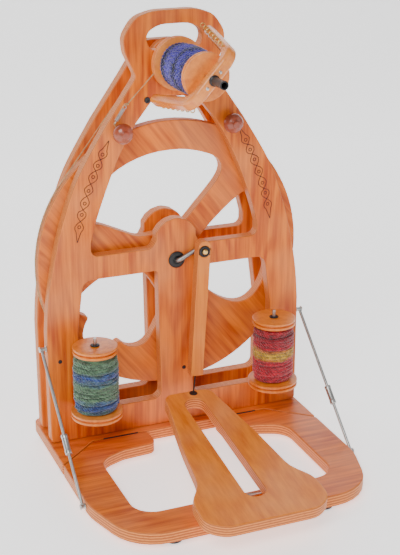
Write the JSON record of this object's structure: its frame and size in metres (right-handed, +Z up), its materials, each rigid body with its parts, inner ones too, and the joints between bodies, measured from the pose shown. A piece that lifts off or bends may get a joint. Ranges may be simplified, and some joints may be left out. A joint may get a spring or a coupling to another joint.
{
  "type": "spinning wheel",
  "caption": "Portable upright spinning wheel with plywood frames, a single treadle and footman, a flyer with bobbin, and bobbins of yarn on side pins",
  "frame": {"origin": "middle of the footprint, on the surface the feet stand on", "axes": "+Z up, the front (treadle side) faces -Y, +X to the right seen from the front"},
  "size_m": [0.4236, 0.4344, 0.652],
  "materials": {
    "lacquered_ply": "satin orange-brown lacquer over plywood",
    "golden_ply": "satin golden lacquer",
    "steel": "bright zinc-plated steel",
    "brass": "polished",
    "black_nylon": "matte",
    "rubber": "matte",
    "cord": "twisted cord",
    "yarn_blue": "plied wool",
    "yarn_red": "plied wool",
    "yarn_violet": "plied wool"
  },
  "bodies": {
    "stand": {"axle_bush_front": "black_nylon", "axle_bush_rear": "black_nylon", "base_front": "lacquered_ply", "base_hinge_left": "steel", "base_hinge_right": "steel", "base_rear": "lacquered_ply", "bobbin_pin_left": "steel", "bobbin_pin_right": "steel", "brake_cord": "cord", "brake_spring": "steel", "drive_band": "cord", "flyer_bush": "black_nylon", "foot_front_left": "rubber", "foot_front_right": "rubber", "foot_middle_left": "rubber", "foot_middle_right": "rubber", "foot_rear_left": "rubber", "foot_rear_right": "rubber", "front_frame": "lacquered_ply", "rear_frame": "lacquered_ply", "spacer_left": "golden_ply", "spacer_right": "golden_ply", "stay_lower_left": "steel", "stay_lower_right": "steel", "stay_sleeve_left": "steel", "stay_sleeve_right": "steel", "stay_stud_lower_left": "steel", "stay_stud_lower_right": "steel", "stay_stud_upper_left": "steel", "stay_stud_upper_right": "steel", "stay_upper_left": "steel", "stay_upper_right": "steel", "tie_bolt_left": "black_nylon", "tie_bolt_right": "black_nylon", "treadle_bracket_left": "steel", "treadle_bracket_right": "steel"},
    "wheel": {"drive_wheel": "lacquered_ply", "axle_crank": "steel", "crank_pin_cap": "brass"},
    "footman": {"footman": "golden_ply", "footman_bush": "black_nylon"},
    "flyer": {"flyer_bow": "golden_ply", "orifice_tube": "black_nylon", "flyer_shaft": "steel", "flyer_whorl": "golden_ply"},
    "flyer_bobbin": {"flyer_bobbin": "golden_ply", "flyer_bobbin_yarn": "yarn_violet"},
    "treadle": {"treadle": "golden_ply", "treadle_lug_left": "steel", "treadle_lug_right": "steel", "treadle_hinge_pin": "steel", "con_rod_cord": "steel"},
    "bobbin_left": {"bobbin_left": "golden_ply", "bobbin_left_yarn": "yarn_blue", "bobbin_bush_left": "black_nylon"},
    "bobbin_right": {"bobbin_right": "golden_ply", "bobbin_right_yarn": "yarn_red", "bobbin_bush_right": "black_nylon"},
    "knob_left": {"brake_knob_left": "lacquered_ply"},
    "knob_right": {"brake_knob_right": "lacquered_ply"}
  },
  "joints": [
    {"name": "wheel_spin", "type": "hinge", "parent": "stand", "child": "wheel", "pos_m": [0, 0.1582, 0.29], "axis": [0, 1, 0], "continuous": true},
    {"name": "footman_swing", "type": "hinge", "parent": "wheel", "child": "footman", "pos_m": [0.03399, 0.1092, 0.30585], "axis": [0, 1, 0], "continuous": true},
    {"name": "flyer_spin", "type": "hinge", "parent": "stand", "child": "flyer", "pos_m": [0, 0.1362, 0.58], "axis": [0, 1, 0], "continuous": true},
    {"name": "flyer_bobbin_spin", "type": "hinge", "parent": "flyer", "child": "flyer_bobbin", "pos_m": [0, 0.0672, 0.58], "axis": [0, 1, 0], "continuous": true},
    {"name": "treadle_tilt", "type": "hinge", "parent": "stand", "child": "treadle", "pos_m": [0, -0.1348, 0.038], "axis": [1, 0, 0], "range_deg": [-12, 5], "deforming": ["con_rod_cord"]},
    {"name": "bobbin_left_spin", "type": "hinge", "parent": "stand", "child": "bobbin_left", "pos_m": [-0.141, 0.0872, 0.137], "axis": [0, 0, 1], "continuous": true},
    {"name": "bobbin_right_spin", "type": "hinge", "parent": "stand", "child": "bobbin_right", "pos_m": [0.141, 0.0872, 0.137], "axis": [0, 0, 1], "continuous": true},
    {"name": "knob_left_turn", "type": "hinge", "parent": "stand", "child": "knob_left", "pos_m": [-0.083, 0.1132, 0.489], "axis": [0, -1, 0], "range_deg": [-180, 180]},
    {"name": "knob_right_turn", "type": "hinge", "parent": "stand", "child": "knob_right", "pos_m": [0.083, 0.1132, 0.489], "axis": [0, -1, 0], "range_deg": [-180, 180]}
  ],
  "couplings": [
    {"joint": "footman_swing", "follows": "wheel_spin", "ratio": -1},
    {"joint": "flyer_spin", "follows": "wheel_spin", "ratio": 7.96}
  ]
}
